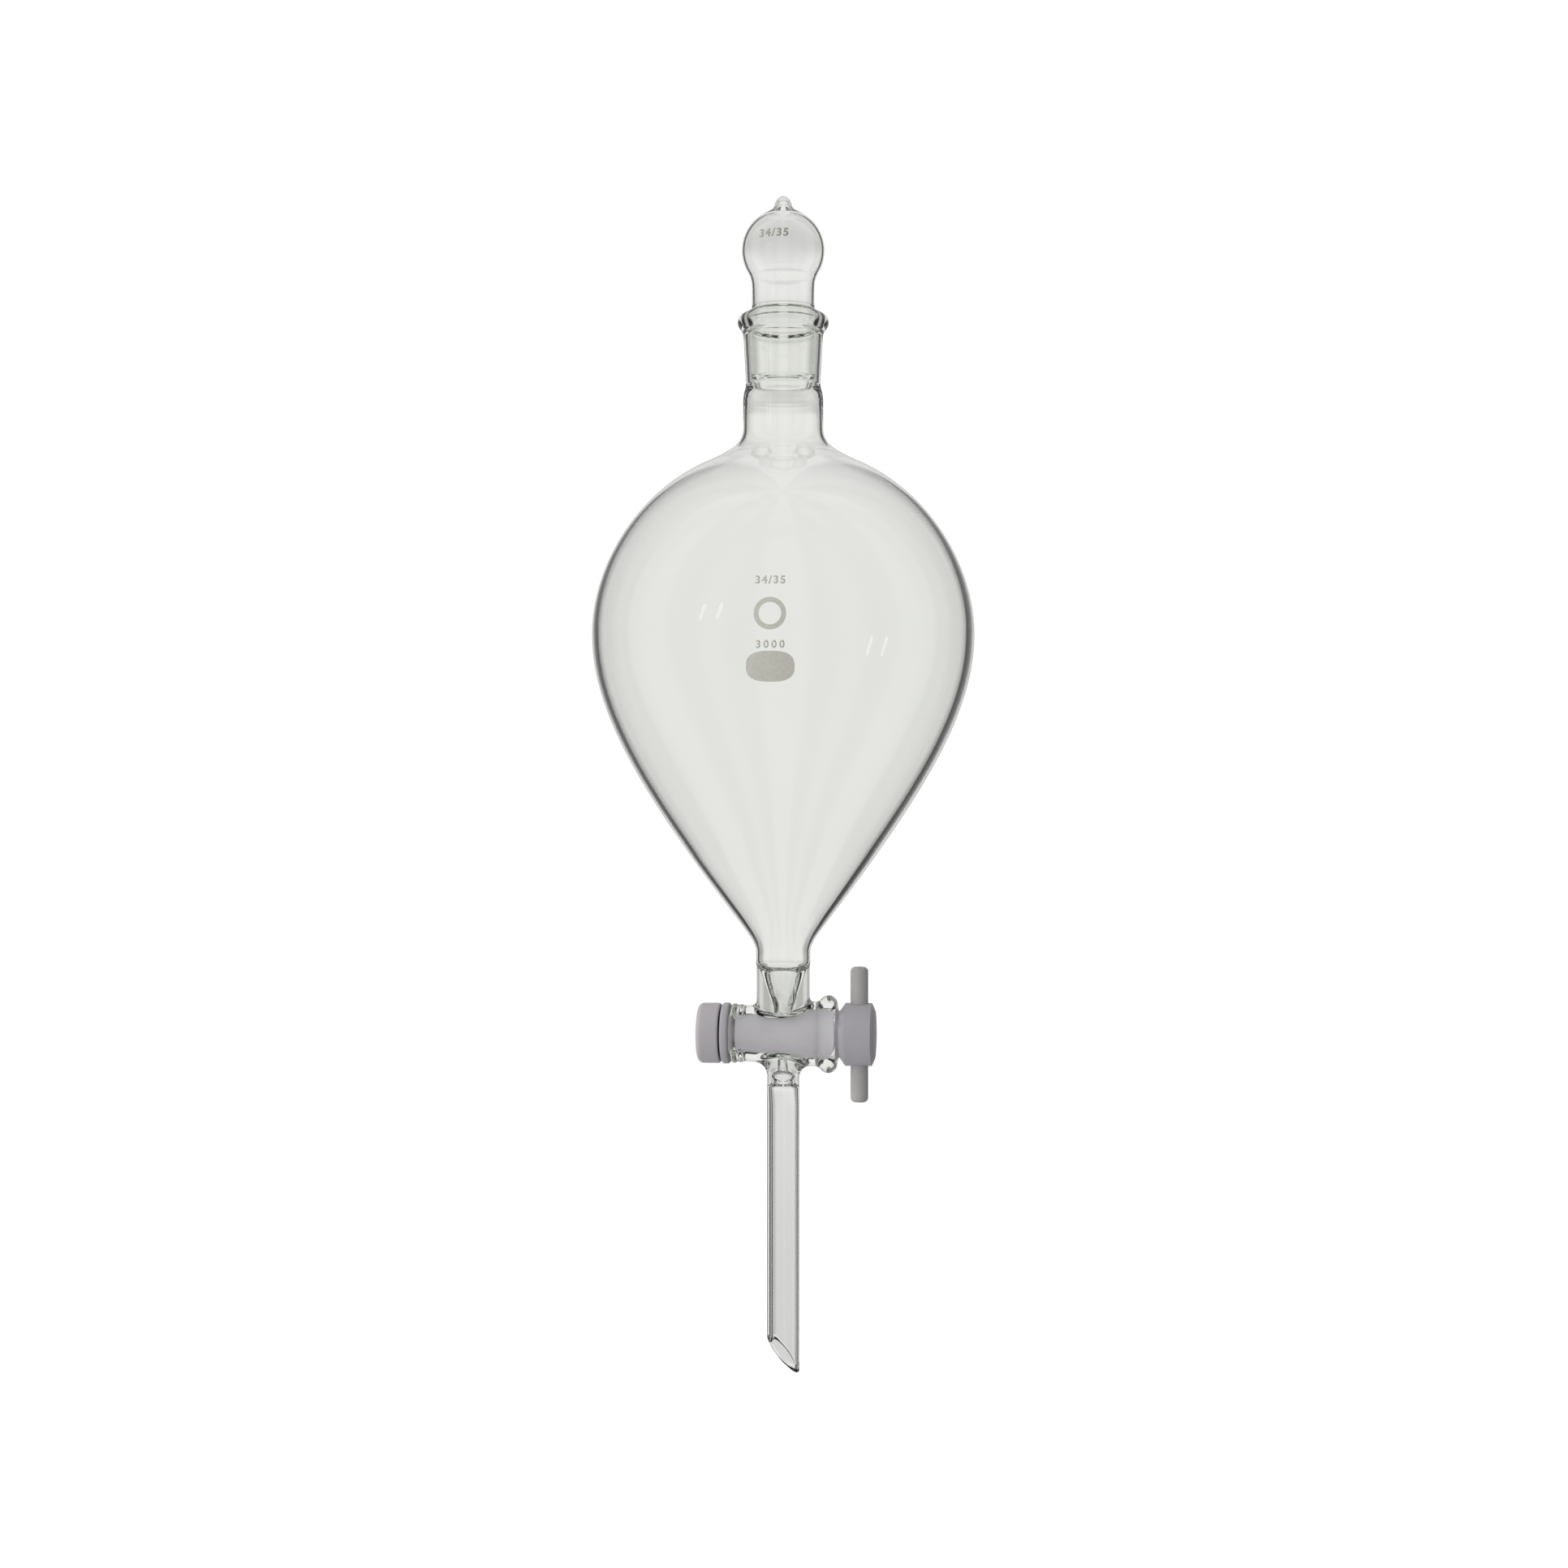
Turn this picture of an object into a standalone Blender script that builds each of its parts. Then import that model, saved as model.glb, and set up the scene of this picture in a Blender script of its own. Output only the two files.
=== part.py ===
"""Separatory funnel of 3 litres: glass body, hollow stopper and a plastic stopcock.

Metres, +Z up. Z is the axis of the glass and X is the axis of the stopcock.
The origin is on the glass axis, in the plane where a round support ring
touches the lower half of the bulb. Below, lengths are in millimetres, and
heights are counted from the tip of the stem until they are placed.
"""
import math

import bmesh
import bpy
from mathutils import Matrix, Vector

MM = 0.001
GAP = 0.3                # clearance between pieces that touch

RING_Z = 283.0           # plane of the support ring, above the stem's tip
COCK_Z = 166.8           # stopcock axis
TOP_Z = 522.0            # rim of the socket
BULB_R = 93.9            # widest radius of the bulb
BULB_Z = 363.0           # height of the widest part
NECK_WALL = 1.9
WALLS = ((205.0, 2.4), (222.0, 3.0), (256.0, 3.5), (363.0, 3.5), (430.0, 2.3), (465.0, NECK_WALL))
NECK_R = 19.7
OUTLET_R = 13.3          # tube under the bulb
OUTLET_BORE_R = 11.0
ARM_R = 13.05            # thick tube between outlet and barrel
PASSAGE_R = 3.0          # way through the stopcock
STEM_R = 7.95
STEM_BORE_R = 5.9
TIP_ANGLE = 48.0         # slant of the cut at the tip, from level
TIP_TURN = -11.0         # the slant's turn about the stem

JOINT_R = 17.25          # ground cone of the stopper, large end
JOINT_TOP = 521.5
JOINT_LENGTH = 34.5
JOINT_SLOPE = 0.05       # 1:10 on diameter
STOPPER_WALL = 1.3
VENT_R = 3.0             # hole in the stopper's foot, which opens its hollow
VENT_X = 8.0
BALL_R = 20.3
BALL_Z = 552.6

PLUG_R = 10.7            # plug's radius where the passage crosses it
PLUG_SLOPE = 0.09        # about 1:5.5 on diameter
BARREL_LEFT = -25.8
BARREL_RIGHT = 26.6
THREAD_R = 5.8
THREAD_END = -40.4
FLAT_Y = 4.7             # half width across the two flats of the threaded end
HUB_R = 15.4
HANDLE_X = 37.6
HANDLE_R = 4.35
HANDLE_HALF = 33.2
WASHER = (-30.2, -26.1)
NUT = (-42.0, -30.9)
NUT_R = 14.8
RING_X, RING_MAJOR, RING_MINOR = -31.9, 8.2, 1.4

AROUND = 40              # sides of a full turn on the large glass
AROUND_SMALL = 32        # sides of a full turn on the small pieces


def arc(cx, cy, radius, start, end, count):
    """Points on a circle from start to end degrees, both ends included."""
    turns = [math.radians(start + (end - start) * i / count) for i in range(count + 1)]
    return [(cx + radius * math.cos(t), cy + radius * math.sin(t)) for t in turns]


def bezier(points, count):
    """Points on a cubic curve, without its first one."""
    result = []
    for i in range(1, count + 1):
        t = i / count
        weights = ((1 - t) ** 3, 3 * (1 - t) ** 2 * t, 3 * (1 - t) * t * t, t ** 3)
        result.append(tuple(sum(w * p[k] for w, p in zip(weights, points)) for k in (0, 1)))
    return result


def wall_at(z):
    """Glass wall at a height of the bulb, straight between the stated heights."""
    for (low, a), (high, b) in zip(WALLS, WALLS[1:]):
        if z <= high:
            return a + (b - a) * max(z - low, 0.0) / (high - low)
    return NECK_WALL


def offset(points):
    """Outline of the bulb moved inwards by its wall, without its two end points."""
    result = []
    for before, point, after in zip(points, points[1:], points[2:]):
        along = Vector(after) - Vector(before)
        inwards = Vector((along.y, -along.x)).normalized()
        result.append(tuple(Vector(point) + inwards * wall_at(point[1])))
    return result


def bulb_outline():
    """Outside of the glass from the neck, over the bulb, to the outlet tube."""
    neck = (NECK_R, 465.0)
    shoulder = (37.5, 448.0)
    widest = (BULB_R, BULB_Z)
    foot = (21.5, 222.0)
    outline = [(NECK_R, 470.0), neck]
    outline += bezier([neck, (NECK_R, 457.0), (27.0, 453.0), shoulder], 5)
    outline += bezier([shoulder, (71.3, 433.4), (BULB_R, 397.0), widest], 7)
    outline += bezier([widest, (BULB_R, 325.5), (70.3, 286.0), foot], 7)
    outline += bezier([foot, (16.0, 214.8), (OUTLET_R, 211.0), (OUTLET_R, 207.5)], 4)
    return outline + [(OUTLET_R, 200.0)]


def joint_radius(z):
    return JOINT_R - (JOINT_TOP - z) * JOINT_SLOPE


def plug_radius(x):
    return PLUG_R + PLUG_SLOPE * x


def material(name, color, roughness, transmission=0.0):
    mat = bpy.data.materials.new(name)
    mat.use_nodes = True
    shader = mat.node_tree.nodes["Principled BSDF"]
    shader.inputs["Base Color"].default_value = (*color, 1.0)
    shader.inputs["Roughness"].default_value = roughness
    shader.inputs["Metallic"].default_value = 0.0
    shader.inputs["Transmission Weight"].default_value = transmission
    return mat


def finish(name, bm, mat=None):
    """Object from a mesh built in millimetres about its own origin."""
    bmesh.ops.recalc_face_normals(bm, faces=bm.faces)
    bmesh.ops.scale(bm, vec=Vector((MM, MM, MM)), verts=bm.verts)
    mesh = bpy.data.meshes.new(name)
    bm.to_mesh(mesh)
    bm.free()
    mesh.shade_smooth()
    mesh.set_sharp_from_angle(angle=math.radians(35))
    ob = bpy.data.objects.new(name, mesh)
    bpy.context.collection.objects.link(ob)
    if mat:
        mesh.materials.append(mat)
    return ob


def turned(name, outline, mat=None, along="Z", steps=AROUND):
    """Solid of revolution. outline holds (radius, place along the axis) from end to end."""
    bm = bmesh.new()
    verts = [bm.verts.new((r, 0.0, h)) for r, h in outline]
    edges = [bm.edges.new(pair) for pair in zip(verts, verts[1:])]
    closed = min(outline[0][0], outline[-1][0]) > 0.0
    if closed:
        edges.append(bm.edges.new((verts[-1], verts[0])))
    bmesh.ops.spin(bm, geom=verts + edges, cent=(0, 0, 0), axis=(0, 0, 1),
                   angle=2 * math.pi, steps=steps, use_merge=True)
    bmesh.ops.remove_doubles(bm, verts=bm.verts, dist=0.001)
    if along == "X":
        bmesh.ops.transform(bm, matrix=Matrix.Rotation(math.pi / 2, 4, "Y"), verts=bm.verts)
    return finish(name, bm, mat)


def block(name, low, high, mat=None):
    bm = bmesh.new()
    bmesh.ops.create_cube(bm, size=1.0)
    middle = (Vector(low) + Vector(high)) / 2
    size = Vector(high) - Vector(low)
    bmesh.ops.scale(bm, vec=size, verts=bm.verts)
    bmesh.ops.translate(bm, vec=middle, verts=bm.verts)
    return finish(name, bm, mat)


def place(ob, z, x=0.0, parent=None):
    """Puts an object's origin at height z above the stem's tip."""
    ob.location = (x * MM, 0.0, (z - RING_Z) * MM)
    if parent:
        ob.parent = parent
        ob.location = ob.location - parent.location
    return ob


def combine(ob, other, operation):
    """Boolean of ob with other, which stays as a hidden guide."""
    change = ob.modifiers.new(other.name, "BOOLEAN")
    change.operation = operation
    change.solver = "EXACT"
    change.object = other
    other.hide_render = True
    other.display_type = "WIRE"


def axis_empty(name, z):
    ob = bpy.data.objects.new(name, None)
    bpy.context.collection.objects.link(ob)
    ob.location = (0.0, 0.0, (z - RING_Z) * MM)
    return ob


def glass_outside():
    """Outer outline of the glass, from the rim down to the stem's tip."""
    rim = [(0.0, TOP_Z), (19.0, TOP_Z)] + arc(17.9, 517.2, 4.45, 62, -50, 6)
    socket = [(19.5, 510.0), (18.35, 486.0), (19.4, 481.5), (NECK_R, 477.0)]
    arm = [(ARM_R, 199.6), (ARM_R, 172.0), (11.0, 166.0), (13.2, 160.0), (13.2, 155.4)]
    saddle = bezier([arm[-1], (9.4, 151.6), (STEM_R, 149.0), (STEM_R, 142.5)], 5)
    return rim + socket + bulb_outline() + arm + saddle + [(STEM_R, 0.0), (0.0, 0.0)]


def glass_inside():
    """Outline of the hollow, from above the mouth down past the stem's tip."""
    mouth = [(0.0, TOP_Z + 5.0), (18.6, TOP_Z + 5.0), (18.6, TOP_Z - 0.1)]
    ground = [(joint_radius(z) + GAP + 0.02, z) for z in (520.6, 485.0)]
    neck = [(NECK_R - NECK_WALL, 479.5)]
    bulb = offset(bulb_outline())
    bulb = [p for p in bulb if p[0] > OUTLET_BORE_R + 0.4]
    outlet = [(OUTLET_BORE_R, 206.0), (OUTLET_BORE_R, 202.0)]
    funnel = [(9.8, 199.4), (6.2, 197.6), (PASSAGE_R, 180.5)]
    below = [(PASSAGE_R, 153.0), (3.2, 143.0), (STEM_BORE_R, 141.6), (STEM_BORE_R, -5.0)]
    return mouth + ground + neck + bulb + outlet + funnel + below + [(0.0, -5.0)]


def barrel_outside():
    """Outer outline of the stopcock barrel, with a beaded rim at each end."""
    start = [(0.0, BARREL_LEFT), (13.0, BARREL_LEFT)]
    ridges = [(14.3, -25.1), (14.6, -24.2), (14.2, -23.1), (13.9, -22.6), (14.2, -21.8), (13.6, -19.6)]
    bead = arc(22.4, 14.8, 4.2, 163, -30, 9)
    bead = [(r, x) for x, r in bead]
    return start + ridges + bead + [(0.0, bead[-1][1])]


def barrel_inside():
    """Tapered seat of the plug, open at both ends."""
    seat = [(plug_radius(x) + GAP + 0.02, x) for x in (-30.0, 24.6)]
    flare = [(13.9, 26.3), (13.9, 32.0)]
    return [(0.0, -30.0)] + seat + flare + [(0.0, 32.0)]


def glass_body(glass):
    """The whole glass body: socket, bulb, outlet, barrel and stem, fused into one."""
    body = place(turned("funnel_body", glass_outside(), glass), 0.0)
    barrel = place(turned("barrel_form", barrel_outside(), along="X", steps=36), COCK_Z)
    hollow = place(turned("hollow_cutter", glass_inside()), 0.0)
    seat = place(turned("seat_cutter", barrel_inside(), along="X", steps=36), COCK_Z)
    slant = place(block("tip_cutter", (-60, -40, -60), (60, 40, 0)), 0.0)
    slant.location.x = STEM_R * MM
    turn = Matrix.Rotation(math.radians(TIP_TURN), 4, "Z")
    lean = Matrix.Rotation(math.radians(TIP_ANGLE), 4, "Y")
    slant.rotation_euler = (turn @ lean).to_euler()
    combine(body, slant, "DIFFERENCE")
    combine(body, barrel, "UNION")
    combine(body, hollow, "DIFFERENCE")
    combine(body, seat, "DIFFERENCE")


def hollow_stopper(glass):
    """Blown stopper with a ground cone, a ball grip and a drawn-off tip; open underneath."""
    bottom = JOINT_TOP - JOINT_LENGTH
    foot = arc(joint_radius(bottom + 2) - 1.7, bottom + 1.7, 1.7, -90, 0, 3)
    cone = [(JOINT_R, JOINT_TOP), (16.9, 522.4), (15.5, 523.6), (15.5, 536.0)]
    ball = arc(0.0, BALL_Z, BALL_R, -36, 66, 9)
    tip = [(4.9, 573.4), (3.9, 575.8), (2.6, 578.2), (0.0, 579.3)]
    inner_ball = arc(0.0, BALL_Z, BALL_R - STOPPER_WALL, 72, -34, 7)
    inside = [(0.0, 572.0)] + inner_ball + [(14.2, 535.0), (14.2, 523.6), (15.5, 521.0)]
    inside += [(joint_radius(bottom + 4) - STOPPER_WALL, bottom + 4), (12.2, bottom + STOPPER_WALL)]
    inside += [(0.0, bottom + STOPPER_WALL)]
    vent_hole = [(0, -4), (VENT_R, -4), (VENT_R, 4), (0, 4)]
    outline = foot + cone + ball + tip
    shell = turned("stopper", [(0.0, bottom)] + outline, glass, steps=36)
    hollow = turned("stopper_cutter", inside, steps=36)
    vent = turned("vent_cutter", vent_hole, steps=24)
    place(shell, 0.0)
    place(hollow, 0.0)
    place(vent, bottom, VENT_X)
    combine(shell, hollow, "DIFFERENCE")
    combine(shell, vent, "DIFFERENCE")


def double_flat(name, radius, half, ends, mat=None):
    """Round bar along X with two flats, facing +Y and -Y."""
    side = math.degrees(math.asin(half / radius))
    outline = arc(0.0, 0.0, radius, -side, side, 5) + arc(0.0, 0.0, radius, 180 - side, 180 + side, 5)
    bm = bmesh.new()
    near = [bm.verts.new((ends[0], y, z)) for z, y in outline]
    face = bm.faces.new(near)
    grown = bmesh.ops.extrude_face_region(bm, geom=[face])["geom"]
    moved = [v for v in grown if isinstance(v, bmesh.types.BMVert)]
    bmesh.ops.translate(bm, vec=(ends[1] - ends[0], 0, 0), verts=moved)
    return finish(name, bm, mat)


def stopcock_key(axis, plastic):
    """Tapered plug with its hub, cross passage, handle hole and threaded end."""
    hub = [(13.3, 27.0), (13.3, 27.2), (11.2, 28.0), (HUB_R, 30.9), (HUB_R, 43.7), (11.7, 45.4)]
    body = [(0.0, -24.6), (plug_radius(-24.6) - 0.6, -24.6), (plug_radius(-24.0), -24.0),
            (plug_radius(25.0), 25.0), (plug_radius(25.0), 27.0)]
    key = turned("stopcock_key", body + hub + [(0.0, 45.4)], plastic, "X", AROUND_SMALL)
    place(key, COCK_Z, parent=axis)
    thread = place(double_flat("thread_form", THREAD_R, FLAT_Y, (THREAD_END, -20.0)), COCK_Z)
    passage = turned("passage_cutter", [(0, -12), (PASSAGE_R, -12), (PASSAGE_R, 12), (0, 12)], steps=24)
    place(passage, COCK_Z)
    socket_r = HANDLE_R + GAP
    hole = turned("handle_cutter", [(0, -20), (socket_r, -20), (socket_r, 20), (0, 20)], steps=24)
    place(hole, COCK_Z, HANDLE_X)
    combine(key, thread, "UNION")
    combine(key, passage, "DIFFERENCE")
    combine(key, hole, "DIFFERENCE")


def handle_bar(axis, plastic):
    """Cross bar pushed through the hub, in line with the passage."""
    top = arc(HANDLE_R - 2.2, HANDLE_HALF - 2.2, 2.2, 90, 0, 4)
    foot = [(r, -z) for r, z in reversed(top)]
    bar = turned("handle_bar", [(0.0, HANDLE_HALF)] + top + foot + [(0.0, -HANDLE_HALF)], plastic, steps=28)
    place(bar, COCK_Z, HANDLE_X, axis)


def washer(axis, plastic):
    """Keyed washer that turns with the plug, against the small end of the barrel."""
    low, high = WASHER
    rim = arc(13.5, low + 1.5, 1.5, -90, 0, 3) + arc(13.9, high - 1.1, 1.1, 0, 90, 3)
    disc = turned("washer", [(0.0, low)] + rim + [(0.0, high)], plastic, "X", AROUND_SMALL)
    place(disc, COCK_Z, parent=axis)
    hole = double_flat("washer_cutter", THREAD_R + GAP, FLAT_Y + GAP, (low - 3, high + 3))
    combine(disc, place(hole, COCK_Z), "DIFFERENCE")


def tension_ring(axis, rubber):
    """Round rubber ring squeezed between washer and nut."""
    section = [(r, x) for x, r in arc(RING_X, RING_MAJOR, RING_MINOR, 0, 330, 11)]
    place(turned("o_ring", section, rubber, "X", AROUND_SMALL), COCK_Z, parent=axis)


def tension_nut(axis, plastic):
    """Round nut on the plug's thread, with a recess that holds the rubber ring."""
    low, high = NUT
    outer = arc(NUT_R - 2.6, low + 2.6, 2.6, -90, 0, 4) + arc(NUT_R - 0.8, high - 0.8, 0.8, 0, 70, 2)
    recess = [(13.95, high), (13.95, high - 2.7), (THREAD_R + GAP, high - 2.7)]
    outline = outer + recess + [(THREAD_R + GAP, low)]
    place(turned("nut", outline, plastic, "X", AROUND_SMALL), COCK_Z, parent=axis)


def main():
    for ob in list(bpy.data.objects):
        bpy.data.objects.remove(ob, do_unlink=True)
    glass = material("clear_glass", (0.90, 0.92, 0.89), 0.02, 1.0)
    plastic = material("grey_white_ptfe", (0.36, 0.34, 0.34), 0.45)
    rubber = material("black_rubber", (0.02, 0.02, 0.02), 0.6)
    glass_body(glass)
    hollow_stopper(glass)
    cock_axis = axis_empty("stopcock_axis", COCK_Z)
    stopcock_key(cock_axis, plastic)
    handle_bar(cock_axis, plastic)
    washer(cock_axis, plastic)
    tension_ring(cock_axis, rubber)
    tension_nut(cock_axis, plastic)


main()
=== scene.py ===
import math

import bmesh
import bpy
import numpy as np
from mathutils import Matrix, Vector


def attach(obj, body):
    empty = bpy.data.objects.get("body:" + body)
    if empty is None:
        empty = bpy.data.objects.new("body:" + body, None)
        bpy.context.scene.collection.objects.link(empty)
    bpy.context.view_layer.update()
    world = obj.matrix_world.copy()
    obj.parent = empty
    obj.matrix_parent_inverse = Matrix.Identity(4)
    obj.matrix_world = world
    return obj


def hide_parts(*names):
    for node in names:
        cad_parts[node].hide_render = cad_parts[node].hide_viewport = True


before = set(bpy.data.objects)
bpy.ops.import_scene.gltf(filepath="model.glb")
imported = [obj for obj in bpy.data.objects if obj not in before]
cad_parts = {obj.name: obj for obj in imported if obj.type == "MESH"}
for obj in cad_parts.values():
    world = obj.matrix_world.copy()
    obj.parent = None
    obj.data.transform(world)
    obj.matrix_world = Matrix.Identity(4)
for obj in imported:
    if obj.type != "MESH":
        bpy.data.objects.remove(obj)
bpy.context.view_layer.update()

# Lengths are in millimetres. Heights count from the tip of the stem until a
# mesh is placed, and RING_Z is the height of the row's origin above that tip.
MM = 0.001
RING_Z = 283.0
COCK_Z = 166.8
BULB_R, BULB_Z = 93.9, 363.0
NECK_R, OUTLET_R, ARM_R, STEM_R = 19.7, 13.3, 13.05, 7.95
STEM_BORE_R = 5.9
WALLS = ((205.0, 2.4), (222.0, 3.0), (256.0, 3.5), (363.0, 3.5), (430.0, 2.3), (465.0, 1.9))
PASSAGE_R = 3.0
# how far the blown wall's inside lies off the axis towards +X, by height
OFF_CENTRE = ((0.0, 0.4), (132.0, 0.4), (142.0, 0.0), (212.0, 0.0), (245.0, -0.45),
              (400.0, -0.3), (450.0, 0.0))
CUT_TOP, CUT_LOW = 188.0, 143.4      # between these the glass follows blended shapes
JOINT_R, JOINT_TOP, JOINT_SLOPE = 17.25, 521.5, 0.05
JOINT_LENGTH = 34.5
BALL_R, BALL_Z = 20.3, 552.6
PLUG_R, PLUG_SLOPE = 10.7, 0.09
HANDLE_X, HANDLE_R, HANDLE_HALF = 37.6, 4.35, 33.2
TIP_ANGLE, TIP_TURN = 48.0, -11.0
MARK_TURN, BALL_MARK_TURN = 2.3, -8.0   # printed marks' turn from -Y towards +X, degrees
EYE_TURN = 6.0                       # the camera's turn from -Y towards +X, degrees
EYE_DISTANCE = 1120.0
EYE_Z = 6.8
FRAME_WIDTH = 772.8                  # width of the view at the glass axis
SLOT_TURN = 27.0                     # the soft slots' turn from the middle of a screen
CAMERA_LEVEL = 1.03                  # brightness of the background and floor as the camera sees them
# brightness of light that only passes through glass, by the sine of its height
BACKDROP = ((-1.0, 0.86), (-0.5, 0.84), (-0.33, 0.78), (-0.25, 0.65), (-0.17, 0.72),
            (-0.09, 0.85), (0.0, 0.86), (0.10, 0.84), (0.15, 0.86), (0.18, 0.86),
            (0.21, 0.86), (0.24, 0.58), (0.28, 0.72), (0.45, 0.80), (1.0, 0.84))
LAMPS = ((-1.35, -1.52, 0.46), (-1.05, -1.75, 0.50), (1.70, -1.10, -0.20), (1.87, -0.80, -0.18))
LAMP_SIZE, LAMP_POWER, LAMP_LEAN = (0.07, 0.36), 0.45, -14


# ---------------------------------------------------------------- curves

def arc(cx, cy, radius, start, end, count):
    turns = np.radians(np.linspace(start, end, count + 1))
    return [(cx + radius * math.cos(t), cy + radius * math.sin(t)) for t in turns]


def bezier(points, count):
    p = np.array(points, float)
    t = np.linspace(0, 1, count + 1)[1:, None]
    curve = (1 - t) ** 3 * p[0] + 3 * (1 - t) ** 2 * t * p[1] + 3 * (1 - t) * t * t * p[2] + t ** 3 * p[3]
    return [tuple(q) for q in curve]


def smooth_through(points, per=8):
    """Centripetal-like smooth curve through a few points of a turned profile."""
    p = np.array(points, float)
    ends = np.vstack([2 * p[0] - p[1], p, 2 * p[-1] - p[-2]])
    out = [tuple(p[0])]
    for i in range(1, len(ends) - 2):
        a, b, c, d = ends[i - 1:i + 3]
        for t in np.linspace(0, 1, per + 1)[1:]:
            q = 0.5 * (2 * b + (c - a) * t + (2 * a - 5 * b + 4 * c - d) * t * t
                       + (3 * b - a - 3 * c + d) * t ** 3)
            out.append(tuple(q))
    return out


def wall_at(z):
    heights, walls = zip(*WALLS)
    return float(np.interp(z, heights, walls))


def bulb_outline():
    neck, shoulder, widest, foot = (NECK_R, 465.0), (37.5, 448.0), (BULB_R, BULB_Z), (21.5, 222.0)
    line = [(NECK_R, 470.0), (NECK_R, 467.0), neck]
    line += bezier([neck, (NECK_R, 457.0), (27.0, 453.0), shoulder], 24)
    line += bezier([shoulder, (71.3, 433.4), (BULB_R, 397.0), widest], 44)
    line += bezier([widest, (BULB_R, 325.5), (70.3, 286.0), foot], 48)
    line += bezier([foot, (16.0, 214.8), (OUTLET_R, 211.0), (OUTLET_R, 207.0)], 16)
    return line + [(OUTLET_R, 204.0)]


def inwards(line):
    """The outline moved inwards by the wall at each height."""
    out = []
    for before, point, after in zip(line, line[1:], line[2:]):
        along = Vector(after) - Vector(before)
        out.append(tuple(Vector(point) + Vector((along.y, -along.x)).normalized() * wall_at(point[1])))
    return out


def joint_radius(z):
    return JOINT_R - (JOINT_TOP - z) * JOINT_SLOPE


# ---------------------------------------------------------------- meshes

def lathe_arrays(line, steps, first=0):
    """Vertices and quads of a profile turned round Z; a point on the axis becomes one vertex."""
    verts, faces, rings = [], [], []
    angles = np.arange(steps) * 2 * math.pi / steps
    for r, h in line:
        if r < 1e-6:
            rings.append([first + len(verts)])
            verts.append((0.0, 0.0, h))
        else:
            rings.append(list(range(first + len(verts), first + len(verts) + steps)))
            verts += [(r * math.cos(a), r * math.sin(a), h) for a in angles]
    for a, b in zip(rings, rings[1:]):
        for i in range(steps):
            j = (i + 1) % steps
            if len(a) == 1:
                faces.append((a[0], b[j], b[i]))
            elif len(b) == 1:
                faces.append((a[i], a[j], b[0]))
            else:
                faces.append((a[i], a[j], b[j], b[i]))
    return verts, faces, rings


def mesh_object(name, verts, faces, sharp=40.0):
    mesh = bpy.data.meshes.new(name)
    mesh.from_pydata([tuple(v) for v in verts], [], faces)
    bm = bmesh.new()
    bm.from_mesh(mesh)
    bmesh.ops.recalc_face_normals(bm, faces=bm.faces)
    bm.to_mesh(mesh)
    bm.free()
    mesh.shade_smooth()
    if sharp:
        mesh.set_sharp_from_angle(angle=math.radians(sharp))
    ob = bpy.data.objects.new(name, mesh)
    bpy.context.collection.objects.link(ob)
    return ob


def turned(name, line, steps=128, along="Z", centre=(0.0, 0.0, 0.0), closed=False, sharp=40.0):
    """Solid of revolution from (radius, place) points; centre is in millimetres above the tip."""
    verts, faces, rings = lathe_arrays(line + ([line[0]] if closed else []), steps)
    v = np.array(verts)
    if closed:
        keep = len(verts) - steps
        faces = [tuple(i - keep if i >= keep else i for i in f) for f in faces]
        v = v[:keep]
    if along == "X":
        v = np.stack([v[:, 2], v[:, 1], -v[:, 0]], axis=1)
    v = (v + np.array(centre) - np.array([0, 0, RING_Z])) * MM
    return mesh_object(name, v, faces, sharp)


def dress(ob, body, mat, nodes=()):
    ob.data.materials.clear()
    ob.data.materials.append(mat)
    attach(ob, body)
    if nodes:
        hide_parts(*nodes)
    return ob


# ---------------------------------------------------------------- stopcock glass

def round_union(a, b, r):
    near = np.sqrt(np.maximum(r - a, 0) ** 2 + np.maximum(r - b, 0) ** 2)
    return np.maximum(r, np.minimum(a, b)) - near


def round_cut(a, b, r):
    """Solid a with solid b taken away, the edge rounded by r."""
    b = -b
    near = np.sqrt(np.maximum(r + a, 0) ** 2 + np.maximum(r + b, 0) ** 2)
    return np.minimum(-r, np.maximum(a, b)) + near


def cock_glass(x, y, z):
    """Signed distance to the glass round the stopcock, from the crossing of the two axes."""
    around, out = np.hypot(y, z), np.hypot(x, y)
    tube = np.maximum(around - (14.7 + 0.0605 * (x + 1.8)), x - 22.4)
    tube = round_cut(tube, x + 25.8, 0.9)
    ridges = np.minimum(np.hypot(x + 23.9, around - 12.9) - 1.7, np.hypot(x + 20.9, around - 12.7) - 1.55)
    tube = round_union(tube, ridges, 0.7)
    bead = np.hypot(x - 22.4, around - 14.8) - 4.2
    barrel = round_union(tube, bead, 2.0)
    upper = np.maximum(out - ARM_R, -z)
    lower = np.maximum(out - STEM_R, z)
    glass = round_union(barrel, upper, 2.6)
    glass = round_union(glass, lower, 6.2)
    seat = around - (PLUG_R + 0.1 + PLUG_SLOPE * x)
    over = z + COCK_Z
    way = np.arctan2(y, x)
    pinched = (over > 178.0) * (over < 187.0)
    uneven = 1 + 0.07 * np.sin(3 * way + 0.6) * np.sin((over - 178.0) / 9.0 * math.pi) * pinched
    cone = out - np.interp(over, (176.0, 180.5, 196.0), (PASSAGE_R, 3.3, 7.0)) * uneven
    cone = np.maximum(cone, -z)
    drop = np.sqrt(out ** 2 + ((over - 146.0) * 1.15) ** 2) - 4.3
    low = np.maximum(round_union(out - 1.9, drop, 0.6), z)
    glass = round_cut(glass, seat, 0.5)
    glass = round_cut(glass, cone, 0.3)
    return round_cut(glass, low, 0.3)


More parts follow.
